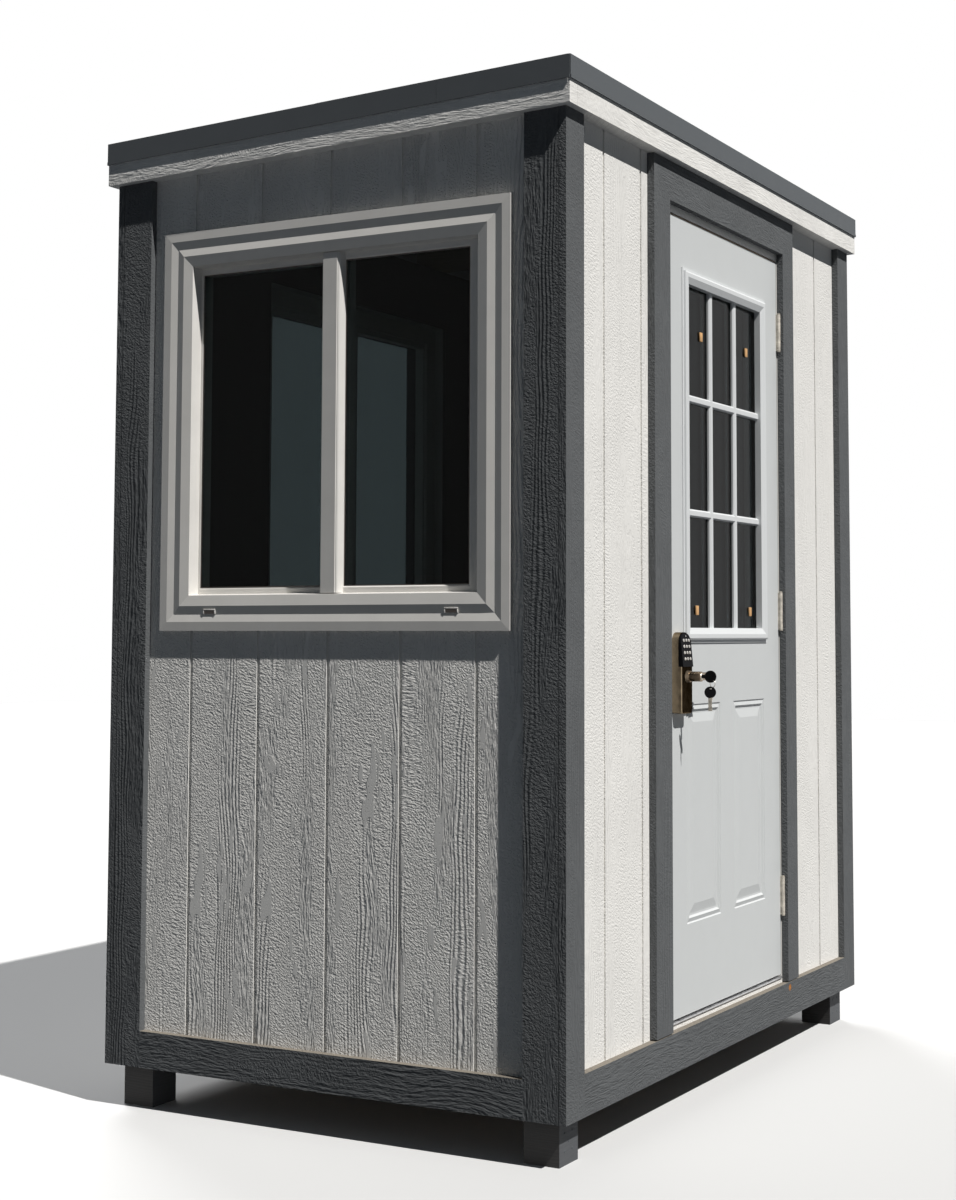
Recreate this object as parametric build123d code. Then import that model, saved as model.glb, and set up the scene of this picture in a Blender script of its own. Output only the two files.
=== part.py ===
from build123d import *
import math
import os

# Security guard booth: a 4 ft by 6 ft timber booth on four post feet.
# Millimetres, +Z up. The slider window is in the front wall (-Y), the door in the right wall (+X).
# Everything is laid out about the middle of the floor frame and moved to the origin at the end.

# Lumber and sheet sizes
stud_t = 38.1
stud_w = 88.9
post_w = 88.9
siding_t = 15.9
trim_t = 19.0
trim_w = 88.9
sheet_t = 18.0

# Plan of the timber frame and height of its feet
frame_x = 1219.2
frame_y = 1828.8
foot_h = 101.6

# Floor
joist_gap = 360.0
deck_top = foot_h + stud_w + trim_t

# Siding grooves
groove_pitch = 203.2
groove_w = 9.5
groove_depth = 4.0
side_groove_start = 208.0

# Roof, sloping down to the left
roof_fall = 0.033
door_to_eave = 99.6
fascia_t = 38.1
board_joint = 0.5
flash_t = 1.2
hem_h = 7.0
hem_t = 1.4
sheet_roof_t = 2.5
sheet_roof_in = 9.0
sheet_roof_lap = 60.0
flash_face = 54.0
flash_leg = 65.0
flash_proud = 2.0
drip_seam_x = 316.6
rafter_gap = 406.4

# Skirt boards
skirt_front_h = 88.0
skirt_side_h = 94.0
trim_gap = 3.0

# Window: its casing comes near the corner boards and the eave
win_to_trim = 38.1
win_to_eave = 160.2
win_h = 995.5
left_win_mid_y = 0.0
win_rough_gap = 5.0
win_fin_w = 41.0
win_reach_in = 70.0
casing_edge = 12.0
casing_proud = 13.0
casing_flat = 22.0
casing_dip = 41.0
casing_dip_y = 9.0
casing_rise = 61.0
casing_in = 87.0
frame_w_in = 90.0
glass_t = 4.0

# Window sashes: the outer one is on the right, and its meeting stile ends in a rounded bead
sash_t = 22.0
sash_outer_y = 14.0
sash_inner_y = 24.0
sash_gap = 2.0
sash_rail = 16.0
sash_side = 32.0
inner_sash_side = 6.0
inner_stile_w = 61.0
sash_bevel = 3.0
stile_left = -20.0
stile_w = 51.0
stile_bead = [(0, -6), (40, -6), (41, -4.5), (43, -4.5), (46, -2.5), (49, 3), (50.5, 9), (51, 14)]
pane_outer_y = 19.0
pane_inner_y = 27.0

# Door
door_w = 755.6
door_h = 2002.0
head_gap = 20.0
casing_clear = 1.0
door_t = 44.5
door_mid_y = 6.8
door_gap = 5.0
hinge_gap = 3.0
latch_bevel = 2.4
door_bottom = 219.0
jamb_t = 19.0
stop_t = 12.0
stop_gap = 5.0
casing_latch_w = 95.0
casing_hinge_w = 80.0
casing_reveal = 9.0
sill_t = 4.0
sill_out = 4.0

# Door glazing
lite_w = 566.0
lite_h = 956.0
lite_to_top = 124.0
lite_rail = 38.0
lite_flange = 7.0
lite_flange_t = 3.0
lite_step = 8.0
lite_step_t = 8.0
lite_shoulder = 12.0
lite_proud = 10.0
lite_crest = 22.0
lite_inner_t = 4.0
lite_overlap = 16.0
lite_play = 0.5
lite_depth = 13.0
glass_play = 2.0
muntin_w = 20.0
muntin_edge = 4.0
muntin_sink = 4.0
lite_cols = 3
lite_rows = 3

# Door panels pressed in the lower half
panel_w = 219.0
panel_bottom = 440.0
panel_to_lite = 155.0
panel_mid = 154.5
panel_edge = 3.0
panel_edge_depth = 3.0
panel_crest = 13.0
panel_crest_depth = 0.4
panel_cove = 18.0
panel_cove_flat = 23.0
panel_depth = 5.0
panel_rim = 46.0
panel_field_depth = 1.0

# Hinges
hinge_h = 104.0
hinge_r = 5.5
hinge_out = 7.6
leaf_t = 2.0
leaf_w = 34.0
knuckle_gap = 0.4
pin_r = 3.0
pin_play = 0.05
hinge_low = 216.0
hinge_high = 201.0
casing_hinge_clear = 1.5

# Lever lock
lock_w = 66.0
lock_h = 201.0
lock_t = 27.0
lock_arch_r = 26.0
lock_foot_r = 8.0
lock_bevel = 2.0
lock_up = 848.0
backset = 59.0
keypad_h = 83.0
keypad_seat = 9.0
keypad_margin = 2.5
keypad_top_t = 4.5
keypad_low_t = 12.5
lever_drop = 9.0
spindle_r = 7.0
spindle_play = 1.0
neck_gap = 1.0
hub_r = 16.0
hub_l = 9.0
hub_taper = 12.0
neck_r = 12.5
neck_out = 39.0
arm_l = 88.0
arm_h = 20.0
arm_t = 13.0
arm_back = 2.0
arm_round = 4.0
inner_lock_t = 20.0
inner_neck_out = 38.0
inner_seat = 4.0
key_r = 15.0
key_t = 4.0
key_out = 39.0
key_shank_h = 9.0
latch_plate_w = 24.0
latch_plate_h = 56.0
latch_plate_t = 2.0

# Worked out from the sizes above
half_x = frame_x / 2
half_y = frame_y / 2
siding_x = half_x + siding_t
siding_y = half_y + siding_t
trim_x = siding_x + trim_t
trim_y = siding_y + trim_t
fascia_x = siding_x + fascia_t
fascia_y = siding_y + fascia_t
room_x = half_x - stud_w
room_y = half_y - stud_w
door_top = door_bottom + door_h
head_z = door_top + door_gap
eave_soffit = head_z + door_to_eave
rafter_top = eave_soffit + stud_w
roof_top = rafter_top + sheet_t
win_w = 2 * (siding_x - trim_w - win_to_trim)
win_mid_z = eave_soffit - win_to_eave - win_h / 2
lite_bottom = door_top - lite_to_top - lite_h
panel_h = lite_bottom - panel_to_lite - panel_bottom
door_face = siding_x
door_lo_y = door_mid_y - door_w / 2
door_hi_y = door_mid_y + door_w / 2
jamb_lo_y = door_lo_y - door_gap
jamb_hi_y = door_hi_y + hinge_gap
doorway_lo_y = jamb_lo_y - jamb_t
doorway_hi_y = jamb_hi_y + jamb_t
doorway_top = head_z + jamb_t
hinge_x = door_face + hinge_out
hinge_y = door_hi_y + hinge_gap / 2
hinge_bottom = door_bottom + hinge_low
hinge_top = door_top - hinge_high
hinge_heights = (hinge_bottom, (hinge_bottom + hinge_top) / 2, hinge_top)
lock_y = door_lo_y + backset
lock_mid_z = door_bottom + lock_up
lever_z = lock_mid_z - lever_drop
lever_x = door_face + lock_t
reach_x = lever_x + neck_out + key_out
middle_x = (reach_x - (fascia_x + flash_proud + flash_t + hem_t)) / 2

parts = {}


def block(x, y, z):
    """Box between the given (low, high) pairs."""
    size = (x[1] - x[0], y[1] - y[0], z[1] - z[0])
    return Pos(sum(x) / 2, sum(y) / 2, sum(z) / 2) * Box(*size)


def roof_z(x, height):
    """Height of a roof layer at x, given its height over the middle of the booth."""
    return height + roof_fall * x


def upright(x, y, z_low, height):
    """Solid with a level bottom whose top follows the roof's slope."""
    face = Polygon(
        (x[0], z_low), (x[1], z_low), (x[1], roof_z(x[1], height)), (x[0], roof_z(x[0], height)),
        align=None,
    )
    return along_y(face, y)


def slope(x, y, low, high):
    """Solid with its bottom and top both on the roof's slope."""
    face = Polygon(
        (x[0], roof_z(x[0], low)), (x[1], roof_z(x[1], low)),
        (x[1], roof_z(x[1], high)), (x[0], roof_z(x[0], high)),
        align=None,
    )
    return along_y(face, y)


def along_y(face, y):
    """Extrudes a face drawn in X and Z along Y."""
    plane = Plane(origin=(0, y[1], 0), x_dir=(1, 0, 0), z_dir=(0, -1, 0))
    return extrude(plane * face, amount=y[1] - y[0], dir=(0, -1, 0))


def mirror_pair(shape, plane):
    """The shape and its mirror image, as two solids."""
    return Compound([shape, shape.mirror(plane)])


def solids(*shapes):
    """Separate solids that share a node."""
    return Compound([solid for shape in shapes for solid in shape.solids()])


def ring(profile, width, height):
    """Frame of a mitred profile, given as (inset, depth) points from its outer edge; it faces -Y."""
    deep = max(inset for inset, depth in profile) + 1.0
    front = min(depth for inset, depth in profile) - 1.0
    back = max(depth for inset, depth in profile) + 1.0
    sides = []
    for turn, length, across in ((0, height, width), (90, width, height)):
        half = across / 2
        points = [(inset - half, depth) for inset, depth in profile]
        bar = extrude(Polygon(*points, align=None), amount=length / 2, both=True)
        mitre = Polygon((-half, -length / 2), (-half, length / 2), (deep - half, length / 2 - deep),
                        (deep - half, deep - length / 2), align=None)
        bar = bar & along_y(mitre, (front, back))
        sides += [Rot(0, turn, 0) * bar, Rot(0, turn + 180, 0) * bar]
    return sides[0] + sides[1] + sides[2] + sides[3]


def facing_right(shape, x, y, z):
    """Turns a shape drawn facing -Y to face +X and moves it to a place."""
    return Pos(x, y, z) * Rot(0, 0, 90) * shape


# Floor
feet = [
    block((sx * half_x - (sx > 0) * post_w, sx * half_x + (sx < 0) * post_w),
          (sy * half_y - (sy > 0) * post_w, sy * half_y + (sy < 0) * post_w), (0, foot_h))
    for sx in (-1, 1) for sy in (-1, 1)
]
parts["post_feet"] = solids(*feet)

rim = block((-half_x, half_x), (-half_y, -half_y + stud_t), (foot_h, foot_h + stud_w))
parts["floor_rim_joists"] = mirror_pair(rim, Plane.XZ)

joist_room = frame_y - 2 * stud_t
joist_count = round(joist_room / joist_gap) + 1
joist_step = joist_room / joist_count
side_joist = block((half_x - stud_t, half_x), (-half_y + stud_t, half_y - stud_t), (foot_h, foot_h + stud_w))
joists = [mirror_pair(side_joist, Plane.YZ)]
for i in range(1, joist_count):
    y = -joist_room / 2 + i * joist_step
    joists.append(block((-half_x + stud_t, half_x - stud_t), (y - stud_t / 2, y + stud_t / 2),
                        (foot_h, foot_h + stud_w)))
parts["floor_joists"] = solids(*joists)

parts["floor_deck"] = block((-half_x, half_x), (-half_y, half_y), (foot_h + stud_w, deck_top))


# Walls: a framed core on the deck with siding outside that runs down over the floor frame
def grooves_x(wall_x, z):
    """Grooves of the front or back siding, centred on the wall."""
    count = int(wall_x / groove_pitch)
    return [
        block((i * groove_pitch - groove_w / 2, i * groove_pitch + groove_w / 2),
              (-siding_y, -siding_y + groove_depth), z)
        for i in range(-count, count + 1)
    ]


def grooves_y(z):
    """Grooves of the right siding, set out from its front corner."""
    first = -siding_y + side_groove_start
    count = int((siding_y - first) / groove_pitch) + 1
    return [
        block((siding_x - groove_depth, siding_x),
              (first + i * groove_pitch - groove_w / 2, first + i * groove_pitch + groove_w / 2), z)
        for i in range(count)
    ]


wall_z = (foot_h, roof_top)
win_hole_w = win_w - 2 * (win_fin_w - win_rough_gap)
win_hole_h = win_h - 2 * (win_fin_w - win_rough_gap)
win_z = (win_mid_z - win_hole_h / 2, win_mid_z + win_hole_h / 2)

front_core = upright((-half_x, half_x), (-half_y, -room_y), deck_top, eave_soffit)
front_siding = upright((-siding_x, siding_x), (-siding_y, -half_y), foot_h, rafter_top)
end_wall = front_core + front_siding
for cut in grooves_x(half_x, wall_z):
    end_wall -= cut
win_hole = block((-win_hole_w / 2, win_hole_w / 2), (-siding_y, -room_y), win_z)
parts["front_wall"] = end_wall - win_hole
back_wall = end_wall.mirror(Plane.XZ)
parts["back_wall"] = back_wall


def side_wall(y, z_low, siding_low):
    """A stretch of the right wall, from a low to a high y."""
    core = upright((room_x, half_x), y, z_low, eave_soffit)
    siding = upright((half_x, siding_x), y, siding_low, rafter_top)
    wall = core + siding
    for cut in grooves_y(wall_z):
        wall -= cut
    return wall


core_lo = -room_y
core_hi = room_y


def side_siding_ends(wall, y_from, y_to, z_low):
    """Carries the side siding over the end of the front or back wall's core."""
    strip = upright((half_x, siding_x), (y_from, y_to), z_low, rafter_top)
    for cut in grooves_y(wall_z):
        strip -= cut
    return wall + strip


door_wall_front = side_wall((core_lo, doorway_lo_y), deck_top, foot_h)
door_wall_front = side_siding_ends(door_wall_front, -half_y, core_lo, foot_h)
parts["door_wall_front"] = door_wall_front
door_wall_back = side_wall((doorway_hi_y, core_hi), deck_top, foot_h)
door_wall_back = side_siding_ends(door_wall_back, core_hi, half_y, foot_h)
parts["door_wall_back"] = door_wall_back
parts["door_wall_header"] = side_wall((doorway_lo_y, doorway_hi_y), doorway_top, doorway_top)
parts["door_wall_foot"] = block((half_x, siding_x), (doorway_lo_y, doorway_hi_y), (foot_h, deck_top))

left_wall = upright((-half_x, -room_x), (core_lo, core_hi), deck_top, eave_soffit)
left_wall += upright((-siding_x, -half_x), (-half_y, half_y), foot_h, rafter_top)
for cut in grooves_y(wall_z):
    left_wall -= cut.mirror(Plane.YZ)
left_hole_y = (left_win_mid_y - win_hole_w / 2, left_win_mid_y + win_hole_w / 2)
left_hole = block((-siding_x, -room_x), left_hole_y, win_z)
parts["left_wall"] = left_wall - left_hole

# Corner boards: boards on the end walls lie between the edges of the side walls' boards
side_board = upright((siding_x, trim_x), (-trim_y, -trim_y + trim_w), foot_h, eave_soffit)
side_board_left = upright((-trim_x, -siding_x), (-trim_y, -trim_y + trim_w), foot_h, eave_soffit)
end_board = upright((siding_x - trim_w, siding_x), (-trim_y, -siding_y), foot_h, eave_soffit)
end_board_left = upright((-siding_x, -siding_x + trim_w), (-trim_y, -siding_y), foot_h, eave_soffit)
side_boards = [mirror_pair(board, Plane.XZ) for board in (side_board, side_board_left)]
parts["corner_boards_sides"] = solids(*side_boards)
end_boards = [mirror_pair(board, Plane.XZ) for board in (end_board, end_board_left)]
parts["corner_boards_ends"] = solids(*end_boards)

# Skirt boards between the corner boards
skirt_x = siding_x - trim_w
skirt_y = trim_y - trim_w
skirt_end = block((-skirt_x, skirt_x), (-trim_y, -siding_y), (foot_h, foot_h + skirt_front_h))
skirt_side = block((siding_x, trim_x), (-skirt_y, skirt_y), (foot_h, foot_h + skirt_side_h))
parts["skirt_front_back"] = mirror_pair(skirt_end, Plane.XZ)
parts["skirt_sides"] = mirror_pair(skirt_side, Plane.YZ)

# Door casing
casing_bottom = foot_h + skirt_side_h + trim_gap
casing_lo_y = jamb_lo_y - casing_reveal
casing_hi_y = hinge_y + hinge_r + casing_hinge_clear
casing_top_z = head_z + head_gap
casing_x = (siding_x, trim_x)
casing_out_lo = casing_lo_y - casing_latch_w
casing_out_hi = casing_hi_y + casing_hinge_w
mitre_top = roof_z(siding_x, eave_soffit) - casing_clear
leg_latch = Polygon((casing_out_lo, casing_bottom), (casing_lo_y, casing_bottom),
                    (casing_lo_y, casing_top_z), (casing_out_lo, mitre_top), align=None)
leg_hinge = Polygon((casing_hi_y, casing_bottom), (casing_out_hi, casing_bottom),
                    (casing_out_hi, mitre_top), (casing_hi_y, casing_top_z), align=None)
head = Polygon((casing_lo_y, casing_top_z), (casing_hi_y, casing_top_z), (casing_out_hi, mitre_top),
               (casing_out_lo, mitre_top), align=None)


def along_x(face, x):
    """Extrudes a face drawn in Y and Z along X."""
    plane = Plane(origin=(x[0], 0, 0), x_dir=(0, 1, 0), z_dir=(1, 0, 0))
    return extrude(plane * face, amount=x[1] - x[0], dir=(1, 0, 0))


parts["door_casing_legs"] = solids(along_x(leg_latch, casing_x), along_x(leg_hinge, casing_x))
parts["door_casing_head"] = along_x(head, casing_x)

# Door frame: jambs with stops behind the door, head and threshold
stop_x = (room_x, door_face - door_t - stop_gap)
door_frame = block((room_x, siding_x), (doorway_lo_y, jamb_lo_y), (deck_top, head_z))
door_frame += block(stop_x, (jamb_lo_y, jamb_lo_y + stop_t), (deck_top + sill_t, head_z))
door_frame += block((room_x, siding_x), (jamb_hi_y, doorway_hi_y), (deck_top, head_z))
door_frame += block(stop_x, (jamb_hi_y - stop_t, jamb_hi_y), (deck_top + sill_t, head_z))
door_frame += block((room_x, siding_x), (doorway_lo_y, doorway_hi_y), (head_z, doorway_top))
door_frame += block(stop_x, (jamb_lo_y, jamb_hi_y), (head_z - stop_t, head_z))
sill_x = (room_x, siding_x + sill_out)
parts["door_threshold"] = block(sill_x, (jamb_lo_y, jamb_hi_y), (deck_top, deck_top + sill_t))

# Door slab with a cut-out for the glazing and two pressed panels
slab_back = door_face - door_t
slab_plan = Polygon((slab_back, door_lo_y + latch_bevel), (door_face, door_lo_y), (door_face, door_hi_y),
                    (slab_back, door_hi_y), align=None)
slab = extrude(Pos(0, 0, door_bottom) * slab_plan, amount=door_h, dir=(0, 0, 1))
lite_y = (door_mid_y - lite_w / 2, door_mid_y + lite_w / 2)
lite_z = (lite_bottom, lite_bottom + lite_h)
lite_hole = block((door_face - door_t, door_face), (lite_y[0] + lite_overlap, lite_y[1] - lite_overlap),
                  (lite_z[0] + lite_overlap, lite_z[1] - lite_overlap))
slab -= lite_hole
moulding = [
    (0, -panel_field_depth), (0, 0), (panel_edge, panel_edge_depth), (panel_crest, panel_crest_depth),
    (panel_cove, panel_depth), (panel_cove_flat, panel_depth), (panel_rim, panel_field_depth),
    (panel_rim, -panel_field_depth),
]
pressed = ring(moulding, panel_w, panel_h)
field = (panel_w - 2 * panel_rim, panel_h - 2 * panel_rim)
pressed += Box(field[0], 2 * panel_field_depth, field[1])
for side in (-1, 1):
    y = door_mid_y + side * panel_mid
    z = panel_bottom + panel_h / 2
    slab -= facing_right(pressed, door_face, y, z)
    slab -= Pos(slab_back, y, z) * Rot(0, 0, -90) * pressed

# Lock bores through the slab
spindle_bore = Plane(origin=(door_face - door_t, lock_y, lever_z), x_dir=(0, 1, 0), z_dir=(1, 0, 0))
slab -= extrude(spindle_bore * Circle(spindle_r + spindle_play), amount=door_t)


# Hinges: door leaves carry knuckles two and four, frame leaves the other three and the pin
def knuckle(z, height, bored):
    """One knuckle, bored to run on the pin or solid with it."""
    ring = Circle(hinge_r)
    if bored:
        ring -= Circle(pin_r + pin_play)
    plane = Plane(origin=(hinge_x, hinge_y, z), x_dir=(1, 0, 0), z_dir=(0, 0, 1))
    return extrude(plane * ring, amount=height)


door_leaves = []
frame_leaves = []
step = hinge_h / 5
for mid in hinge_heights:
    low = mid - hinge_h / 2
    high = mid + hinge_h / 2
    leaf_x = (door_face - leaf_w, hinge_x)
    door_leaf = block(leaf_x, (door_hi_y - leaf_t, door_hi_y), (low, high))
    frame_leaf = block(leaf_x, (jamb_hi_y, jamb_hi_y + leaf_t), (low, high))
    slab -= block((door_face - leaf_w, door_face), (door_hi_y - leaf_t, door_hi_y), (low, high))
    door_frame -= block((door_face - leaf_w, door_face), (jamb_hi_y, jamb_hi_y + leaf_t), (low, high))
    room = Pos(hinge_x, hinge_y, mid) * Cylinder(hinge_r + knuckle_gap, hinge_h)
    door_leaf -= room
    frame_leaf -= room
    for i in range(5):
        z = low + i * step + knuckle_gap / 2
        height = step - knuckle_gap
        own = knuckle(z, height, i % 2 == 1)
        if i % 2 == 1:
            web = block((door_face - 1.0, hinge_x), (door_hi_y - leaf_t, door_hi_y), (z, z + height))
            web -= Pos(hinge_x, hinge_y, mid) * Cylinder(pin_r + pin_play, hinge_h)
            door_leaf = door_leaf + own + web
        else:
            web = block((door_face - 1.0, hinge_x), (jamb_hi_y, jamb_hi_y + leaf_t), (z, z + height))
            frame_leaf = frame_leaf + own + web
    frame_leaf += Pos(hinge_x, hinge_y, mid) * Cylinder(pin_r, hinge_h)
    door_leaves.append(door_leaf)
    frame_leaves.append(frame_leaf)
parts["hinge_door_leaves"] = solids(*door_leaves)
parts["hinge_frame_leaves"] = solids(*frame_leaves)
parts["door_frame"] = door_frame


# Nine-pane glazing frames on both faces of the slab
def lite_frame():
    """Raised frame with its glazing bars, drawn facing -Y with the door's face at depth 0."""
    seat = lite_overlap + lite_play
    profile = [
        (0, 0), (0, -lite_flange_t), (lite_flange, -lite_flange_t), (lite_step, -lite_step_t),
        (lite_shoulder, -lite_proud), (lite_crest, -lite_proud), (lite_rail, -lite_inner_t),
        (lite_rail, lite_depth), (seat, lite_depth), (seat, 0),
    ]
    frame = ring(profile, lite_w, lite_h)
    inner_w = lite_w - 2 * lite_rail
    inner_h = lite_h - 2 * lite_rail
    depth = lite_depth - muntin_sink
    y = muntin_sink + depth / 2
    for i in range(1, lite_cols):
        bar = Box(muntin_w, depth, inner_h)
        bar = chamfer(bar.edges().filter_by(Axis.Z).group_by(Axis.Y)[0], muntin_edge)
        frame += Pos(-inner_w / 2 + i * inner_w / lite_cols, y, 0) * bar
    for i in range(1, lite_rows):
        bar = Box(inner_w, depth, muntin_w)
        bar = chamfer(bar.edges().filter_by(Axis.X).group_by(Axis.Y)[0], muntin_edge)
        frame += Pos(0, y, -inner_h / 2 + i * inner_h / lite_rows) * bar
    return frame


lite_mid_z = lite_bottom + lite_h / 2
lite = lite_frame()
parts["lite_frame_outside"] = facing_right(lite, door_face, door_mid_y, lite_mid_z)
parts["lite_frame_inside"] = Pos(slab_back, door_mid_y, lite_mid_z) * Rot(0, 0, -90) * lite
glass_edge = lite_overlap + glass_play
parts["door_glass"] = block(
    (slab_back + lite_depth, door_face - lite_depth),
    (lite_y[0] + glass_edge, lite_y[1] - glass_edge),
    (lite_z[0] + glass_edge, lite_z[1] - glass_edge))
parts["door_slab"] = slab


# Lock housings, keypad, levers and key
def lock_outline(width, height):
    """Outline with an arched top and small radii at its foot."""
    face = Rectangle(width, height)
    face = fillet(face.vertices().group_by(Axis.Y)[-1], lock_arch_r)
    return fillet(face.vertices().group_by(Axis.Y)[0], lock_foot_r)


def lock_case(x, out, depth):
    """Lock case standing out of a door face, its front edge bevelled, bored for the spindle."""
    plane = Plane(origin=(x, lock_y, lock_mid_z), x_dir=(0, out, 0), z_dir=(out, 0, 0))
    case = extrude(plane * lock_outline(lock_w, lock_h), amount=depth, dir=(out, 0, 0))
    case = chamfer(case.faces().sort_by(Axis.X)[-1 if out > 0 else 0].edges(), lock_bevel)
    bore = Plane(origin=(x, lock_y, lever_z), x_dir=(0, 1, 0), z_dir=(out, 0, 0))
    return case - extrude(bore * Circle(spindle_r + spindle_play), amount=depth)


# The outside case is cut back at its top for the keypad, a wedge that stands proud at its foot
pad_top = lock_mid_z + lock_h / 2 - keypad_margin
pad_low = pad_top - keypad_h
seat_x = lever_x - keypad_seat
pad_y = (lock_y - lock_w, lock_y + lock_w)
pad_room = block((seat_x, lever_x), pad_y, (pad_low, pad_top + lock_w))
parts["lock_outside"] = lock_case(door_face, 1, lock_t) - pad_room
parts["lock_inside"] = lock_case(slab_back, -1, inner_lock_t)
wedge = Polygon((seat_x, pad_low), (seat_x + keypad_low_t, pad_low), (seat_x + keypad_top_t, pad_top),
                (seat_x, pad_top), align=None)
pad_plane = Plane(origin=(seat_x, lock_y, lock_mid_z), x_dir=(0, 1, 0), z_dir=(1, 0, 0))
pad_outline = lock_outline(lock_w - 2 * keypad_margin, lock_h - 2 * keypad_margin)
parts["keypad"] = along_y(wedge, pad_y) & extrude(pad_plane * pad_outline, amount=2 * keypad_low_t)

inside_x = slab_back - inner_lock_t


def lever(x, out, reach):
    """Hub, neck and arm of a lever that stands out of the lock's face at x."""
    plane = Plane(origin=(x + out * neck_gap, lock_y, lever_z), x_dir=(0, 1, 0), z_dir=(out, 0, 0))
    hub = extrude(plane * Circle(hub_r), amount=hub_l, taper=hub_taper)
    neck = extrude(plane * Circle(neck_r), amount=reach - neck_gap)
    arm_x = x + out * (reach - arm_t / 2 - arm_back)
    arm = Pos(arm_x, lock_y + arm_l / 2, lever_z) * Box(arm_t, arm_l, arm_h)
    arm = fillet(arm.edges().filter_by(Axis.Y), arm_round)
    arm = fillet(arm.faces().sort_by(Axis.Y)[-1].edges(), arm_round)
    return hub + neck + arm


spindle_plane = Plane(origin=(inside_x - inner_seat, lock_y, lever_z), x_dir=(0, 1, 0), z_dir=(1, 0, 0))
spindle = extrude(spindle_plane * Circle(spindle_r), amount=lever_x + neck_gap - inside_x + inner_seat)
parts["lever_outside"] = lever(lever_x, 1, neck_out) + spindle
parts["lever_inside"] = lever(inside_x, -1, inner_neck_out) - spindle
key_x = lever_x + neck_out
bow = Pos(reach_x - key_r, lock_y, lever_z) * Rot(90, 0, 0) * Cylinder(key_r, key_t)
shank = block((key_x, reach_x - key_r), (lock_y - key_t / 2, lock_y + key_t / 2),
              (lever_z - key_shank_h / 2, lever_z + key_shank_h / 2))
parts["lever_key"] = bow + shank

plate_x = door_face - door_t / 2
plate = block((plate_x - latch_plate_w / 2, plate_x + latch_plate_w / 2),
              (door_lo_y, door_lo_y + latch_plate_t + latch_bevel / 2),
              (lever_z - latch_plate_h / 2, lever_z + latch_plate_h / 2))
parts["latch_plate"] = plate & slab
parts["door_slab"] = slab - plate


# Windows: a casing with a moulded profile, an inner sash on the left and an outer sash on the right
main_profile = [
    (0, 0), (0, -casing_edge), (casing_flat, -casing_proud), (casing_dip, -casing_dip_y),
    (casing_rise, -casing_proud), (casing_in, -casing_dip_y), (frame_w_in, sash_outer_y),
    (frame_w_in, win_reach_in), (win_fin_w, win_reach_in), (win_fin_w, 0),
]
clear_x = win_w / 2 - frame_w_in
clear_z = win_h / 2 - frame_w_in


def glazed(sash, x, y_front, y_back, pane_y):
    """Cuts a sash for its pane between two x values, bevels the rim and gives the sash and its pane."""
    z = (sash_rail - clear_z, clear_z - sash_rail)
    sash -= block(x, (y_front, y_back), z)
    rim = [
        edge for edge in sash.faces().sort_by(Axis.Y)[0].edges()
        if x[0] + sash_bevel < edge.center().X < x[1] + sash_bevel and abs(edge.center().Z) < z[1] + 1.0
    ]
    return chamfer(rim, sash_bevel), block(x, (pane_y, pane_y + glass_t), z)


def window(place, name):
    """Adds a window's nodes at a place whose local -Y points out of the wall."""
    tall = (-clear_z, clear_z)
    stile_right = stile_left + stile_w
    outer_back = sash_outer_y + sash_t
    inner_front = outer_back + sash_gap
    inner_back = inner_front + sash_t
    outer = block((stile_left, clear_x), (sash_outer_y, outer_back), tall)
    outer_x = (stile_right, clear_x - sash_side)
    outer, outer_pane = glazed(outer, outer_x, sash_outer_y, outer_back, pane_outer_y)
    bead = [(stile_left + along, y) for along, y in stile_bead]
    stile = Polygon(*bead, (stile_left, sash_outer_y), align=None)
    outer += extrude(stile, amount=clear_z, both=True)
    inner = block((-clear_x, stile_left - sash_gap), (sash_inner_y, inner_back), tall)
    inner += block((stile_left - sash_gap, stile_right), (inner_front, inner_back), tall)
    inner_x = (inner_sash_side - clear_x, stile_right - inner_stile_w)
    inner, inner_pane = glazed(inner, inner_x, sash_inner_y, inner_back, pane_inner_y)
    parts[name + "_frame"] = place * ring(main_profile, win_w, win_h)
    parts[name + "_sash_outer"] = place * outer
    parts[name + "_sash_inner"] = place * inner
    parts[name + "_glass"] = place * solids(outer_pane, inner_pane)


window(Pos(0, -siding_y, win_mid_z), "front_window")
window(Pos(-siding_x, left_win_mid_y, win_mid_z) * Rot(0, 0, -90), "left_window")

# Roof: rafters, deck, fascia boards round the siding and metal drip edge over them
rafter_room = 2 * half_y - stud_t
rafter_count = round(rafter_room / rafter_gap)
rafter_step = rafter_room / rafter_count
rafters = []
for i in range(rafter_count + 1):
    y = -rafter_room / 2 + i * rafter_step
    rafters.append(slope((-half_x, half_x), (y - stud_t / 2, y + stud_t / 2), eave_soffit, rafter_top))
parts["roof_rafters"] = solids(*rafters)
parts["roof_deck"] = slope((-fascia_x, fascia_x), (-fascia_y, fascia_y), rafter_top, roof_top)
fascia_end = slope((-fascia_x, fascia_x), (-fascia_y, -siding_y), eave_soffit, rafter_top)
fascia_span = (-siding_y + board_joint, siding_y - board_joint)
fascia_right = slope((siding_x, fascia_x), fascia_span, eave_soffit, rafter_top)
fascia_left = slope((-fascia_x, -siding_x), fascia_span, eave_soffit, rafter_top)
parts["fascia_boards"] = solids(mirror_pair(fascia_end, Plane.XZ), fascia_right, fascia_left)

edge_x = fascia_x + flash_proud
edge_y = fascia_y + flash_proud
face_low = roof_top + flash_t - flash_face


def drip_end(x, y_out, y_in):
    """Drip edge along the front: a face over the fascia and a leg on the roof."""
    leg = slope(x, (min(y_out, y_in), max(y_out, y_in)), roof_top, roof_top + flash_t)
    face = slope(x, (y_out - flash_t, y_out), face_low, roof_top + flash_t)
    hem = slope(x, (y_out - flash_t - hem_t, y_out - flash_t), face_low, face_low + hem_h)
    return leg + face + hem


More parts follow.
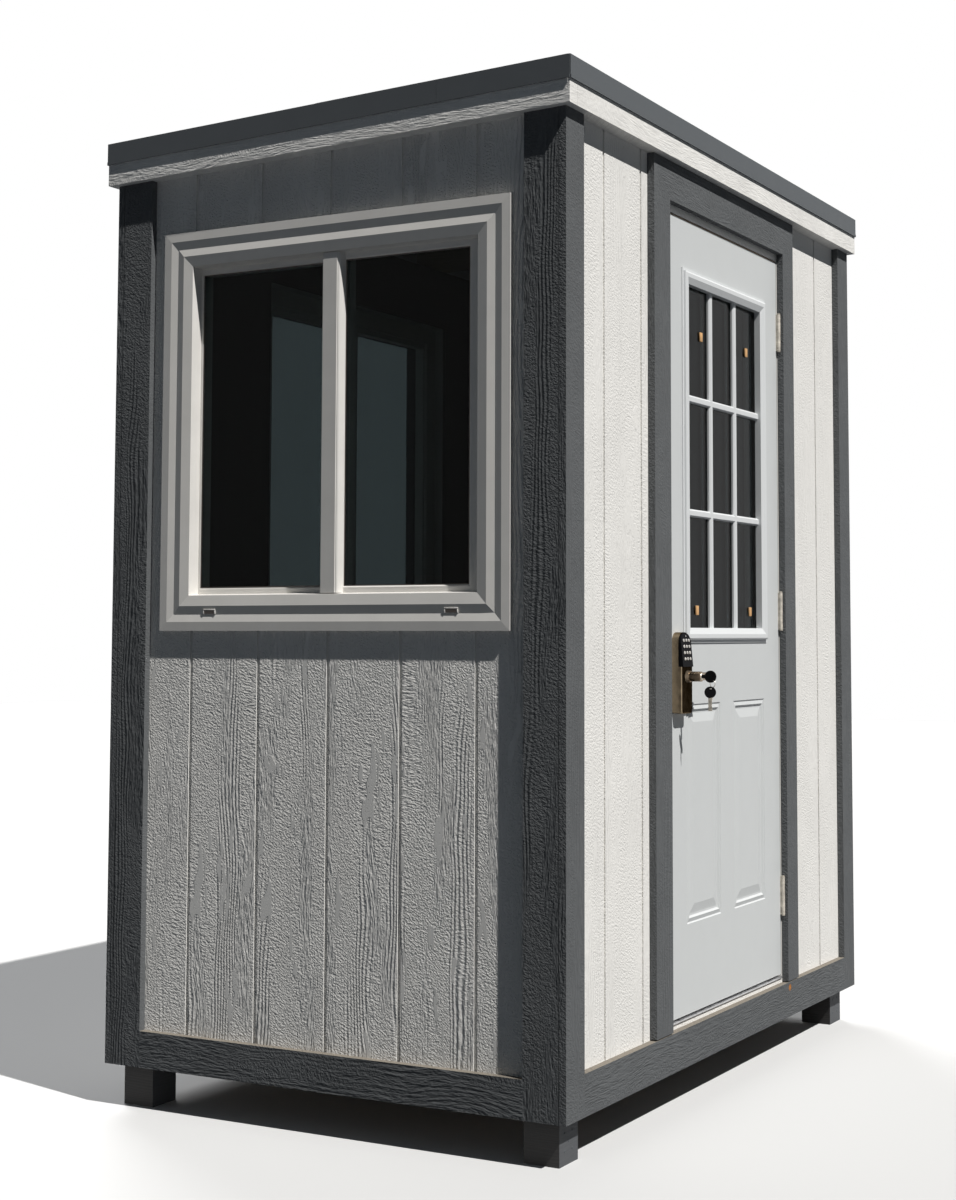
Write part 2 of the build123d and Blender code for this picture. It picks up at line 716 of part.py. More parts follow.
end_x = edge_x - board_joint
front_left = drip_end((-end_x, drip_seam_x), -edge_y, -fascia_y + flash_leg)
front_right = drip_end((drip_seam_x + board_joint, end_x), -edge_y, -fascia_y + flash_leg)
back_edge = drip_end((-end_x, end_x), -edge_y, -fascia_y + flash_leg).mirror(Plane.XZ)
side_y = (-fascia_y + flash_leg + board_joint, fascia_y - flash_leg - board_joint)
full_y = (-edge_y + board_joint, edge_y - board_joint)
right_edge = slope((edge_x, edge_x + flash_t), full_y, face_low, roof_top + flash_t)
right_edge += slope((fascia_x - flash_leg, edge_x), side_y, roof_top, roof_top + flash_t)
right_edge += slope((edge_x + flash_t, edge_x + flash_t + hem_t), full_y, face_low, face_low + hem_h)
left_edge = slope((-edge_x - flash_t, -edge_x), full_y, face_low, roof_top + flash_t)
left_edge += slope((-edge_x, -fascia_x + flash_leg), side_y, roof_top, roof_top + flash_t)
left_edge += slope((-edge_x - flash_t - hem_t, -edge_x - flash_t), full_y, face_low, face_low + hem_h)
parts["roof_drip_edge"] = solids(front_left, front_right, back_edge, right_edge, left_edge)


# Roofing sheet in two courses, the upper one lapped over the lower
sheet_low = roof_top + flash_t
sheet_x = (sheet_roof_in - fascia_x, fascia_x - sheet_roof_in)
sheet_y = fascia_y - sheet_roof_in
sheet = slope(sheet_x, (-sheet_y, sheet_y), sheet_low, sheet_low + sheet_roof_t)
lap = slope((-sheet_roof_lap / 2, sheet_x[1]), (-sheet_y, sheet_y), sheet_low + sheet_roof_t,
            sheet_low + 2 * sheet_roof_t)
parts["roof_sheet"] = sheet + lap

os.makedirs("parts", exist_ok=True)
for name, shape in parts.items():
    export_step(Pos(-middle_x, 0, 0) * shape, "parts/" + name + ".step")
print(len(parts), "nodes; middle_x", round(middle_x, 3))
print("hinge axis", round(hinge_x - middle_x, 3), round(hinge_y, 3))
print("lever axis", round(lock_y, 3), lever_z)
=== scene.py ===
import math

import bmesh
import bpy
from mathutils import Matrix, Vector


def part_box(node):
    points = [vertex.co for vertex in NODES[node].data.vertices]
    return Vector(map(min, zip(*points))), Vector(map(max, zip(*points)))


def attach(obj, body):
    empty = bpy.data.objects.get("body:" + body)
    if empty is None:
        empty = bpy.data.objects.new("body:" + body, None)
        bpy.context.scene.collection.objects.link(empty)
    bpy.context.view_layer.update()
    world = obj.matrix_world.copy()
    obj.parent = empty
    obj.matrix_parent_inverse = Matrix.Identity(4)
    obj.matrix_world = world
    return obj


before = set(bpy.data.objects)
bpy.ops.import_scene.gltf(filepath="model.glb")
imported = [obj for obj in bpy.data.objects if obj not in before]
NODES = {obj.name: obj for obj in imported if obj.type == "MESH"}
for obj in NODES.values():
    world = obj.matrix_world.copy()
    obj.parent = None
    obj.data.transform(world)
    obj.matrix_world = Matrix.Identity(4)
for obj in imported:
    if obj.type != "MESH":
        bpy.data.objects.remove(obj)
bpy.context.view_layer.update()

# The walls' middle is this far to the left of the frame's, because the lock and key stick out to the right
MIDDLE_X = 0.03115

# Camera at the photograph's viewing angle, in radians, metres and the photograph's own pixels
YAW = -0.49238
PITCH = 0.070695
ROLL = 0.000866
EYE = Vector((2.57654 - MIDDLE_X, -4.66486, 1.16323))
FOCAL_PX = 1899.93
CENTRE_PX = (541.687, 499.334)
IMAGE_PX = (956, 1200)
SENSOR_MM = 36.0

# The siding's outer faces, in metres
HALF_WIDTH = 0.6255
DOOR_WALL_X = HALF_WIDTH - MIDDLE_X
LEFT_WALL_X = -HALF_WIDTH - MIDDLE_X
FRONT_WALL_Y = -0.9303

# A wall's face nearer the middle than these is its lining
LINING_X = 0.53
LINING_Y = 0.835

# The siding's grooves, one of them on each side wall at SIDE_GROOVE_Y
GROOVE_PITCH = 0.2032
SIDE_GROOVE_Y = -0.7223

# A knot in the face of the skirt under the door
TRIM_T = 0.019
KNOT = (DOOR_WALL_X + TRIM_T, 0.404, 0.181)

# The windows' middle height, and how far each drain cover is from their middle
WINDOW_Z = 1.66765
DRAIN_X = 0.345

# The hinge pins' line, out from the door wall, and a hinge's height
HINGE_OUT = 0.0076
HINGE_Y = 0.3861
HINGE_H = 0.104

# Paint and cut wood, as linear colours
WHITE = (0.80, 0.785, 0.755)
DARK = (0.120, 0.125, 0.129)
BARE = (0.215, 0.192, 0.162)
KNOT_BROWN = (0.42, 0.17, 0.05)


def add_camera():
    forward = Vector((math.sin(YAW) * math.cos(PITCH), math.cos(YAW) * math.cos(PITCH), math.sin(PITCH)))
    right = Vector((math.cos(YAW), -math.sin(YAW), 0))
    up = right.cross(forward)
    c, s = math.cos(ROLL), math.sin(ROLL)
    right, up = right * c + up * s, up * c - right * s
    data = bpy.data.cameras.new("camera")
    cam = bpy.data.objects.new("camera", data)
    bpy.context.scene.collection.objects.link(cam)
    turn = Matrix((right, up, -forward)).transposed()
    cam.matrix_world = Matrix.Translation(EYE) @ turn.to_4x4()
    data.sensor_fit = "VERTICAL"
    data.sensor_height = SENSOR_MM
    data.lens = FOCAL_PX / IMAGE_PX[1] * SENSOR_MM
    data.shift_x = (IMAGE_PX[0] / 2 - CENTRE_PX[0]) / IMAGE_PX[1]
    data.shift_y = (CENTRE_PX[1] - IMAGE_PX[1] / 2) / IMAGE_PX[1]
    data.clip_end = 200
    bpy.context.scene.camera = cam


class Graph:
    """Short calls for building the nodes of a material or a world."""

    def __init__(self, owner, output="OutputMaterial"):
        owner.use_nodes = True
        self.owner = owner
        self.tree = owner.node_tree
        self.tree.nodes.clear()
        self.out = self.node(output)

    def set(self, socket, value):
        if isinstance(value, bpy.types.NodeSocket):
            self.tree.links.new(value, socket)
        else:
            socket.default_value = value

    def set_colour(self, socket, colour):
        self.set(socket, colour if isinstance(colour, bpy.types.NodeSocket) else (*colour, 1))

    def node(self, kind, inputs=None, **props):
        made = self.tree.nodes.new("ShaderNode" + kind)
        for key, value in props.items():
            setattr(made, key, value)
        for key, value in (inputs or {}).items():
            self.set(made.inputs[key], value)
        return made

    def math(self, op, a, b=0.0, c=0.0):
        made = self.node("Math", operation=op)
        for socket, value in zip(made.inputs, (a, b, c)):
            self.set(socket, value)
        return made.outputs[0]

    def times(self, a, b):
        return self.math("MULTIPLY", a, b)

    def xyz(self, vector):
        made = self.node("SeparateXYZ", {0: vector})
        return made.outputs[0], made.outputs[1], made.outputs[2]

    def vec(self, x, y, z):
        return self.node("CombineXYZ", {0: x, 1: y, 2: z}).outputs[0]

    def noise(self, vector, scale=1.0, detail=3.0, rough=0.55, distort=0.0):
        made = self.node("TexNoise", {"Vector": vector, "Scale": scale, "Detail": detail,
                                      "Roughness": rough, "Distortion": distort})
        return made.outputs[0]

    def streaks(self, across, along, per_metre, seed, detail=2.0, rough=0.55, distort=0.0):
        """Noise with its own number of features a metre across and along the grain."""
        place = self.vec(self.times(across, per_metre[0]), self.times(along, per_metre[1]), seed)
        return self.noise(place, 1.0, detail, rough, distort)

    def stretched(self, place, per_metre, detail=3.0, rough=0.55, distort=0.0):
        """Noise with its own number of features a metre along each axis."""
        mapped = self.node("Mapping", {"Vector": place, "Scale": per_metre}).outputs[0]
        return self.noise(mapped, 1.0, detail, rough, distort)

    def span(self, value, low, high, to_low=0.0, to_high=1.0):
        made = self.node("MapRange", {0: value, 1: low, 2: high, 3: to_low, 4: to_high}, clamp=True)
        return made.outputs[0]

    def mix(self, factor, a, b):
        made = self.node("Mix", data_type="RGBA")
        self.set(made.inputs[0], factor)
        self.set_colour(made.inputs[6], a)
        self.set_colour(made.inputs[7], b)
        return made.outputs[2]

    def lerp(self, factor, a, b):
        made = self.node("Mix", data_type="FLOAT")
        for i, value in ((0, factor), (2, a), (3, b)):
            self.set(made.inputs[i], value)
        return made.outputs[0]

    def shaded(self, colour, shade):
        """A colour times a grey."""
        return self.node("VectorMath", {0: colour, 1: self.vec(shade, shade, shade)},
                         operation="MULTIPLY").outputs[0]

    def bump(self, height, distance):
        return self.node("Bump", {"Height": height, "Distance": distance, "Strength": 1.0}).outputs[0]

    def place(self):
        return self.node("TexCoord").outputs["Object"]

    def normal(self):
        return self.xyz(self.node("NewGeometry").outputs["True Normal"])

    def facing(self):
        """How far a face looks along x, y and z, either way."""
        return [self.math("ABSOLUTE", part) for part in self.normal()]

    def finish(self, colour, rough, normal=None, **extra):
        shader = self.node("BsdfPrincipled")
        self.set_colour(shader.inputs["Base Color"], colour)
        self.set(shader.inputs["Roughness"], rough)
        if normal is not None:
            self.set(shader.inputs["Normal"], normal)
        for key, value in extra.items():
            self.set(shader.inputs[key.replace("_", " ")], value)
        self.tree.links.new(shader.outputs[0], self.out.inputs[0])
        return self.owner


def new_material(name):
    return Graph(bpy.data.materials.new(name))


def grain_height(g, across, along, seed, saw=0.46, patches=1.0, waves=0.45):
    """Height of embossed rough-sawn grain, about 0 to 1, from places in metres across and along a board.

    Fibres and saw marks take turns in zones, growth lines show in belts, and smooth patches lie between.
    """
    line_gap = 0.0105
    wander = 0.11
    slope = 0.3
    a = g.math("ADD", across, seed)
    sway = g.streaks(a, along, (6.0, 1.6), seed)
    bent = g.math("MULTIPLY_ADD", g.math("SUBTRACT", sway, 0.5), wander, a)
    fibre = g.streaks(bent, along, (215.0, 30.0), seed, rough=0.6)
    slanted = g.math("MULTIPLY_ADD", bent, slope, along)
    marks = g.streaks(bent, slanted, (150.0, 190.0), seed, rough=0.6, distort=0.2)
    zone = g.streaks(a, along, (15.0, 2.2), seed + 2.0)
    sawn = g.span(zone, saw - 0.07, saw + 0.05, 0.1, 0.8)
    rough = g.span(g.lerp(sawn, fibre, marks), 0.32, 0.68)
    lines = g.math("SINE", g.times(bent, 2 * math.pi / line_gap))
    wavy = g.math("MULTIPLY_ADD", lines, waves, g.times(rough, 0.8))
    belt = g.streaks(a, along, (12.0, 0.8), 3.1, detail=1.0)
    height = g.lerp(g.span(belt, 0.56, 0.61), rough, wavy)
    patch = g.streaks(bent, along, (40.0, 7.0), 9.4)
    return g.lerp(g.times(g.span(patch, 0.63, 0.64), patches), height, 0.85)


def board_material(name, colour, upright, depth, rough=0.6, gloss=0.06, side=0.5, cut_edge=None, knot=None):
    """Painted rough-sawn board, its grain up or along it, fainter by side on faces to the left and right."""
    seam_core, seam_edge, seam_depth = 0.0004, 0.0016, 0.9
    knot_core, knot_edge = 0.006, 0.011
    g = new_material(name)
    x, y, z = g.xyz(g.place())
    level = g.math("ADD", x, y)
    if upright:
        height = grain_height(g, level, z, 0.37, patches=0.4)
        apart = g.math("SUBTRACT", g.math("ABSOLUTE", g.math("ADD", x, MIDDLE_X)), HALF_WIDTH)
        seam = g.span(g.math("ABSOLUTE", apart), seam_core, seam_edge, 1.0, 0.0)
        height = g.math("MULTIPLY_ADD", g.times(seam, g.facing()[1]), -seam_depth, height)
    else:
        height = grain_height(g, z, level, 0.37, saw=0.54, patches=0.4, waves=0.16)
    tone = g.noise(g.place(), 9.0, 4.0)
    # The colour is darker in the grain's hollows and seams and lighter on its ridges: painted shade.
    tint = g.shaded(colour, g.math("MULTIPLY_ADD", height, 0.12, g.span(tone, 0.3, 0.7, 0.88, 1.0)))
    if knot:
        apart = g.node("VectorMath", {0: g.place(), 1: knot}, operation="DISTANCE").outputs[1]
        tint = g.mix(g.span(apart, knot_core, knot_edge, 1.0, 0.0), tint, KNOT_BROWN)
    if cut_edge:
        tint = g.mix(g.math("GREATER_THAN", g.normal()[2], 0.9), tint, cut_edge)
    relief = g.times(height, g.lerp(g.math("GREATER_THAN", g.facing()[0], 0.5), 1.0, side))
    return g.finish(tint, g.span(height, 0.2, 0.9, rough + 0.15, rough - 0.05), g.bump(relief, depth),
                    Specular_IOR_Level=gloss)


def siding_material(name, colour, inside):
    """Grooved siding outside, each board with its own grain, and a plain lining inside, its dark colour
    painted shade for the unlit room.
    """
    first_front_board = 17.0
    shift_across, shift_along = 3.7, 1.9
    pit_depth, pit_shade = 0.3, 0.16
    side_relief, lining_relief = 0.32, 0.07
    g = new_material(name)
    place = g.place()
    x, y, z = g.xyz(place)
    front = g.math("GREATER_THAN", g.facing()[1], 0.5)
    level = g.lerp(front, g.math("SUBTRACT", y, SIDE_GROOVE_Y), g.math("ADD", x, MIDDLE_X))
    board = g.math("FLOOR", g.math("DIVIDE", level, GROOVE_PITCH))
    board = g.math("ADD", board, g.times(front, first_front_board))
    turn = g.node("TexWhiteNoise", {"W": board}, noise_dimensions="1D").outputs[0]
    across = g.math("MULTIPLY_ADD", turn, shift_across, level)
    along = g.math("MULTIPLY_ADD", turn, shift_along, z)
    pit = g.span(g.streaks(across, along, (260.0, 120.0), 5.0, detail=1.0), 0.66, 0.74)
    inner_x = g.math("LESS_THAN", g.math("ABSOLUTE", g.math("ADD", x, MIDDLE_X)), LINING_X)
    inner_y = g.math("LESS_THAN", g.math("ABSOLUTE", y), LINING_Y)
    within = g.times(inner_x, inner_y)
    tone = g.noise(place, 5.0, 4.0)
    tint = g.shaded(colour, g.math("ADD", g.span(tone, 0.3, 0.7, 0.97, 1.03), g.times(pit, -pit_shade)))
    # The lining's dark colour is painted shade, standing in for the unlit room.
    tint = g.mix(within, tint, inside)
    height = g.math("MULTIPLY_ADD", pit, -pit_depth, grain_height(g, across, along, 0.11))
    height = g.times(height, g.lerp(within, 1.0, lining_relief))
    height = g.times(height, g.lerp(front, side_relief, 1.0))
    return g.finish(tint, g.span(height, 0.2, 0.9, 0.68, 0.55), g.bump(height, 0.0032),
                    Specular_IOR_Level=0.06)


def plain_material(name, colour, rough, grain=0.0, scale=300.0, depth=0.0002, vary=0.03, **extra):
    """Moulded, sprayed or cast surface with a fine grain and slight unevenness."""
    g = new_material(name)
    place = g.place()
    tone = g.noise(place, 14.0, 3.0)
    tint = g.shaded(colour, g.span(tone, 0.3, 0.7, 1.0 - vary, 1.0 + vary))
    normal = g.bump(g.times(g.noise(place, scale, 2.0), grain), depth) if grain else None
    return g.finish(tint, g.span(tone, 0.3, 0.7, rough - 0.05, rough + 0.05), normal, **extra)


def lumber_material(name, dark, light, side=None):
    """Bare or stained sawn timber, its grain level; faces to the left and right can take a colour of their
    own, partly paint and partly painted light.
    """
    ring_gap = 0.006
    g = new_material(name)
    x, y, z = g.xyz(g.place())
    level = g.math("ADD", x, y)
    wander = g.streaks(level, z, (2.0, 40.0), 0.0, detail=3.0)
    fine = g.streaks(level, z, (14.0, 260.0), 0.0, detail=3.0)
    rings = g.math("SINE", g.times(g.math("MULTIPLY_ADD", wander, 0.04, z), 2 * math.pi / ring_gap))
    mixed = g.math("ADD", g.math("MULTIPLY_ADD", rings, 0.2, 0.5), g.math("MULTIPLY_ADD", fine, 0.5, -0.25))
    tone = g.span(mixed, 0.1, 0.9)
    tint = g.mix(tone, dark, light)
    # Faces to the left and right take the side colour: partly paint, partly painted light that makes them
    # look sunlit against the rest.
    if side:
        painted = g.mix(tone, [0.8 * part for part in side], side)
        tint = g.mix(g.math("GREATER_THAN", g.facing()[0], 0.5), tint, painted)
    return g.finish(tint, 0.75, g.bump(fine, 0.0006))


def roof_material(name, bare_below):
    """Mineral-faced sheet, or a deck with that sheet on top and bare board under it."""
    g = new_material(name)
    place = g.place()
    top = g.math("GREATER_THAN", g.normal()[2], 0.5)
    grit = g.noise(place, 420.0, 3.0, 0.7)
    worn = g.span(g.noise(place, 4.0, 4.0, 0.6), 0.3, 0.7, 0.78, 1.16)
    sheet = g.shaded(g.mix(g.span(grit, 0.35, 0.65), (0.045, 0.047, 0.05), (0.15, 0.15, 0.155)), worn)
    flakes = g.span(g.stretched(place, (40, 90, 10)), 0.35, 0.65)
    board = g.mix(flakes, (0.35, 0.24, 0.13), (0.55, 0.42, 0.26))
    return g.finish(g.mix(top, board, sheet) if bare_below else sheet, 0.85, g.bump(grit, 0.0006))


def plywood_material(name):
    """Sanded plywood sheet with its grain along the room."""
    g = new_material(name)
    place = g.place()
    broad = g.stretched(place, (14, 1.6, 14), rough=0.5, distort=0.6)
    fine = g.stretched(place, (260, 9, 260))
    mixed = g.span(g.math("MULTIPLY_ADD", fine, 0.45, g.times(broad, 0.55)), 0.3, 0.7)
    return g.finish(g.mix(mixed, (0.33, 0.225, 0.13), (0.52, 0.385, 0.24)), 0.7, g.bump(fine, 0.0002))


def glass_material(name, tint):
    return new_material(name).finish(tint, 0.0, Transmission_Weight=1.0, IOR=1.12)


def metal_material(name, colour, rough, vary=0.12, front=None, **extra):
    """Brushed metal; its faces to the left and right can take a darker colour, a painted reflection of dark
    surroundings.
    """
    g = new_material(name)
    place = g.place()
    tone = g.noise(place, 60.0, 4.0)
    streak = g.stretched(place, (900, 900, 30), detail=2.0)
    tint = g.shaded(colour, g.span(tone, 0.3, 0.7, 1.0 - vary, 1.0 + vary))
    # Faces to the left and right get the darker colour: a painted dark reflection.
    if front:
        tint = g.mix(g.math("GREATER_THAN", g.facing()[0], 0.8), tint, front)
    return g.finish(tint, g.span(tone, 0.3, 0.7, rough - 0.08, rough + 0.08), g.bump(streak, 0.0001),
                    Metallic=1.0, **extra)


MATS = {
    # The siding's dark lining colour is painted shade.
    "siding": siding_material("siding_paint", WHITE, inside=(0.085, 0.080, 0.068)),
    "fascia": board_material("fascia_paint", WHITE, upright=False, depth=0.0012),
    "trim_up": board_material("trim_paint_upright", DARK, upright=True, depth=0.0032, rough=0.65,
                              gloss=0.03, side=0.25),
    "trim_level": board_material("trim_paint_level", DARK, upright=False, depth=0.0024, rough=0.65,
                                 gloss=0.03, cut_edge=BARE, knot=KNOT),
    "drip": plain_material("drip_edge_metal", (0.105, 0.114, 0.122), 0.5, grain=0.4, scale=40.0,
                           depth=0.0004, Specular_IOR_Level=0.08),
    "vinyl": plain_material("window_vinyl", (0.72, 0.70, 0.665), 0.5, grain=0.3, scale=500.0, depth=0.0001,
                            Specular_IOR_Level=0.15),
    "door": plain_material("door_paint", (0.585, 0.60, 0.60), 0.45, grain=0.6, scale=420.0, vary=0.015,
                           Specular_IOR_Level=0.15),
    "lite": plain_material("lite_plastic", (0.66, 0.675, 0.68), 0.45, grain=0.2, scale=400.0, depth=0.0001,
                           vary=0.01, Specular_IOR_Level=0.15),
    "jamb": plain_material("jamb_paint", (0.62, 0.61, 0.58), 0.5, grain=0.5, scale=200.0),
    "lumber": lumber_material("floor_lumber", (0.30, 0.21, 0.12), (0.55, 0.42, 0.27)),
    # The feet's near-black faces are painted shade; the grey on faces to the left and right is partly paint,
    # partly painted light.
    "feet": lumber_material("foot_lumber", (0.010, 0.010, 0.010), (0.034, 0.032, 0.031),
                            side=(0.082, 0.086, 0.092)),
    "roof": roof_material("roof_deck", bare_below=True),
    "roof_sheet": roof_material("roof_sheet", bare_below=False),
    "plywood": plywood_material("floor_plywood"),
    "glass": glass_material("window_glass", (0.14, 0.165, 0.17)),
    # The lock's faces to the left and right are painted much darker: a painted dark reflection on them.
    "bronze": metal_material("lock_bronze", (0.26, 0.205, 0.14), 0.42, vary=0.15,
                             front=(0.045, 0.035, 0.023), Specular_Tint=(0.10, 0.08, 0.06, 1)),
    "bronze_worn": metal_material("lever_bronze", (0.24, 0.185, 0.13), 0.30),
    "hinge": metal_material("hinge_metal", (0.52, 0.48, 0.42), 0.36, vary=0.3),
    "steel": metal_material("key_steel", (0.50, 0.48, 0.45), 0.3),
    "sill": metal_material("threshold_metal", (0.55, 0.55, 0.56), 0.4),
    "black": plain_material("keypad_plastic", (0.008, 0.008, 0.009), 0.6, grain=0.4, scale=500.0,
                            depth=0.0001, vary=0.1, Specular_IOR_Level=0.03),
    "rubber": plain_material("seal_rubber", (0.03, 0.022, 0.018), 0.7, grain=0.6, depth=0.0003),
    "brown": plain_material("head_seal_foam", (0.30, 0.20, 0.12), 0.8, grain=0.6, depth=0.0003, vary=0.1),
    "tan": plain_material("cork_tab", (0.62, 0.36, 0.16), 0.8, grain=1.0, scale=900.0, depth=0.0006,
                          vary=0.2),
}

# Which solids take each material
MAT_NODES = {
    "feet": "post_feet",
    "lumber": "floor_rim_joists floor_joists roof_rafters",
    "plywood": "floor_deck",
    "siding": "front_wall back_wall left_wall "
              "door_wall_front door_wall_back door_wall_header door_wall_foot",
    "fascia": "fascia_boards",
    "trim_up": "corner_boards_sides corner_boards_ends door_casing_legs",
    "trim_level": "skirt_front_back skirt_sides door_casing_head",
    "roof": "roof_deck",
    "roof_sheet": "roof_sheet",
    "drip": "roof_drip_edge",
    "vinyl": "front_window_frame front_window_sash_outer front_window_sash_inner "
             "left_window_frame left_window_sash_outer left_window_sash_inner",
    "glass": "front_window_glass left_window_glass door_glass",
    "jamb": "door_frame",
    "sill": "door_threshold",
    "hinge": "hinge_frame_leaves hinge_door_leaves latch_plate",
    "door": "door_slab",
    "lite": "lite_frame_outside lite_frame_inside",
    "bronze": "lock_outside lock_inside",
    "bronze_worn": "lever_outside lever_inside",
    "black": "keypad lever_key",
}


def dress_nodes():
    for mat, names in MAT_NODES.items():
        for name in names.split():
            materials = NODES[name].data.materials
            materials.clear()
            materials.append(MATS[mat])


def add_piece(name, bm, mat, body, smooth=True):
    """Turns a bmesh into a piece that rides on a body."""
    mesh = bpy.data.meshes.new(name)
    bmesh.ops.recalc_face_normals(bm, faces=bm.faces)
    bm.to_mesh(mesh)
    bm.free()
    obj = bpy.data.objects.new(name, mesh)
    bpy.context.scene.collection.objects.link(obj)
    mesh.materials.append(MATS[mat])
    if smooth:
        for face in mesh.polygons:
            face.use_smooth = True
        mesh.set_sharp_from_angle(angle=math.radians(35))
    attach(obj, body)


def square_to(axis):
    """Unit vector along an axis and two more at right angles to it."""
    axis = Vector(axis).normalized()
    side = axis.orthogonal().normalized()
    return axis, side, axis.cross(side)


def add_lathe(bm, profile, centre, axis, steps=20):
    """Adds a turned solid: profile is a list of (radius, height along the axis) from end to end."""
    axis, side, other = square_to(axis)
    rings = []
    for radius, height in profile:
        middle = Vector(centre) + axis * height
        turns = [2 * math.pi * i / steps for i in range(steps if radius else 1)]
        rings.append([bm.verts.new(middle + side * radius * math.cos(turn) + other * radius * math.sin(turn))
                      for turn in turns])
    for low, high in zip(rings, rings[1:]):
        for i in range(steps):
            j = (i + 1) % steps
            corners = (low[i % len(low)], low[j % len(low)], high[j % len(high)], high[i % len(high)])
            corners = list(dict.fromkeys(corners))
            if len(corners) > 2:
                bm.faces.new(corners)
    for ring in (rings[0], rings[-1]):
        if len(ring) > 2:
            bm.faces.new(ring)


def add_block(bm, low, high, bevel=0.0):
    """Adds a box between two corners, its edges rounded by bevel."""
    made = bmesh.ops.create_cube(bm, size=1.0)
    size = [b - a for a, b in zip(low, high)]
    centre = [(a + b) / 2 for a, b in zip(low, high)]
    for vert in made["verts"]:
        vert.co = Vector([c + v * s for c, v, s in zip(centre, vert.co, size)])
    if bevel:
        edges = list({edge for vert in made["verts"] for edge in vert.link_edges})
        bmesh.ops.bevel(bm, geom=edges, offset=bevel, segments=2, affect="EDGES", profile=0.5)


def add_torus(bm, centre, axis, radius, wire, steps=36, sides=10):
    """Adds a ring of round wire."""
    axis, side, other = square_to(axis)
    rings = []
    for i in range(steps):
        turn = 2 * math.pi * i / steps
        out = side * math.cos(turn) + other * math.sin(turn)
        rolls = [2 * math.pi * j / sides for j in range(sides)]
        rings.append([bm.verts.new(Vector(centre) + out * (radius + wire * math.cos(roll))
                                   + axis * wire * math.sin(roll)) for roll in rolls])
    for i in range(steps):
        ring, ahead = rings[i], rings[(i + 1) % steps]
        for j in range(sides):
            k = (j + 1) % sides
            bm.faces.new((ring[j], ahead[j], ahead[k], ring[k]))


def add_screw(bm, centre, axis, radius, proud):
    """Adds a screw head with a crowned face and a round recess."""
    profile = [(radius, -0.0004), (radius, proud * 0.3), (radius * 0.8, proud), (radius * 0.35, proud),
               (radius * 0.3, proud * 0.3), (0, proud * 0.3)]
    add_lathe(bm, profile, centre, axis, 14)


def dress_keypad():
    """Buttons and lamp on the keypad's sloping face."""
    foot_t = 0.0125
    taper = 0.008
    rows = 4
    first_row = 0.0198
    row_pitch = 0.01527
    column_pitch = 0.0155
    lamp_drop = 0.007
    button = [(0.0042, -0.0006), (0.0042, 0.0012), (0.0036, 0.0021), (0.002, 0.0026), (0, 0.0027)]
    lamp = [(0.002, -0.0004), (0.002, 0.0006), (0.0012, 0.0012), (0, 0.0014)]
    low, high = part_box("keypad")
    lean = -taper / (high.z - low.z)
    outward = (1, 0, -lean)
    mid_y = (low.y + high.y) / 2

    def on_face(y, z):
        return (low.x + foot_t + lean * (z - low.z), y, z)

    bm = bmesh.new()
    for row in range(rows):
        for column in (-1, 0, 1):
            centre = on_face(mid_y + column * column_pitch, low.z + first_row + row_pitch * row)
            add_lathe(bm, button, centre, outward, 16)
    add_piece("keypad_buttons", bm, "steel", "door")
    bm = bmesh.new()
    add_lathe(bm, lamp, on_face(mid_y, high.z - lamp_drop), outward, 12)
    add_piece("keypad_lamp", bm, "steel", "door")


def dress_key():
    """Rim of the lever's cylinder, and a spare key on a ring from the bow of the key."""
    rim = [(0.0085, -0.002), (0.0085, 0.001), (0.0075, 0.0022), (0.0058, 0.0022), (0.0052, 0.0008),
           (0, 0.0008)]
    ring_r, ring_wire, ring_in, ring_drop = 0.0085, 0.0010, 0.0095, 0.0175
    head_r, head_half_t, head_edge = 0.0145, 0.0018, 0.001
    head_in, head_aside, head_drop = 0.0006, 0.002, 0.0385
    slot_half = Vector((0.0042, 0.0005, 0.0012))
    slot_place = Vector((0.0008, -0.0019, 0.0088))
    blade_half_t, blade_back, blade_sunk = 0.0009, 0.0050, 0.0015
    blade_bits = [(0.0060, 0.0), (0.0060, 0.004), (0.0046, 0.006), (0.0046, 0.011), (0.0036, 0.013),
                  (0.0048, 0.016), (0.0032, 0.019), (0.0050, 0.023), (0.0044, 0.028), (0.0056, 0.033)]
    low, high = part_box("lever_key")
    mid_y = (low.y + high.y) / 2
    mid_z = (low.z + high.z) / 2

    bm = bmesh.new()
    add_lathe(bm, rim, (low.x, mid_y, mid_z), (1, 0, 0), 28)
    add_piece("lever_cylinder_rim", bm, "hinge", "lever")

    bm = bmesh.new()
    add_torus(bm, (high.x - ring_in, mid_y, mid_z - ring_drop), (0.4, 1, 0), ring_r, ring_wire)
    add_piece("key_ring", bm, "steel", "lever")

    spare = Vector((high.x - head_r - head_in, mid_y - head_aside, mid_z - head_drop))
    rounded = head_r - head_edge
    bm = bmesh.new()
    add_lathe(bm, [(0, -head_half_t), (rounded, -head_half_t), (head_r, head_edge - head_half_t),
                   (head_r, head_half_t - head_edge), (rounded, head_half_t), (0, head_half_t)],
              spare, (0.45, -1, 0), 32)
    add_piece("spare_key_head", bm, "black", "lever")

    bm = bmesh.new()
    add_block(bm, spare + slot_place - slot_half, spare + slot_place + slot_half, 0.0005)
    add_piece("spare_key_slot", bm, "steel", "lever")

    top = spare.z - head_r + blade_sunk
    length = blade_bits[-1][1]
    outline = [(-blade_back, 0.0), (-blade_back, length)] + blade_bits[::-1]
    count = len(outline)
    bm = bmesh.new()
    faces = [[bm.verts.new((spare.x + x, spare.y + y, top - drop)) for x, drop in outline]
             for y in (-blade_half_t, blade_half_t)]
    for face in faces:
        bm.faces.new(face)
    for i in range(count):
        j = (i + 1) % count
        bm.faces.new((faces[0][i], faces[0][j], faces[1][j], faces[1][i]))
    add_piece("spare_key_blade", bm, "hinge", "lever", False)


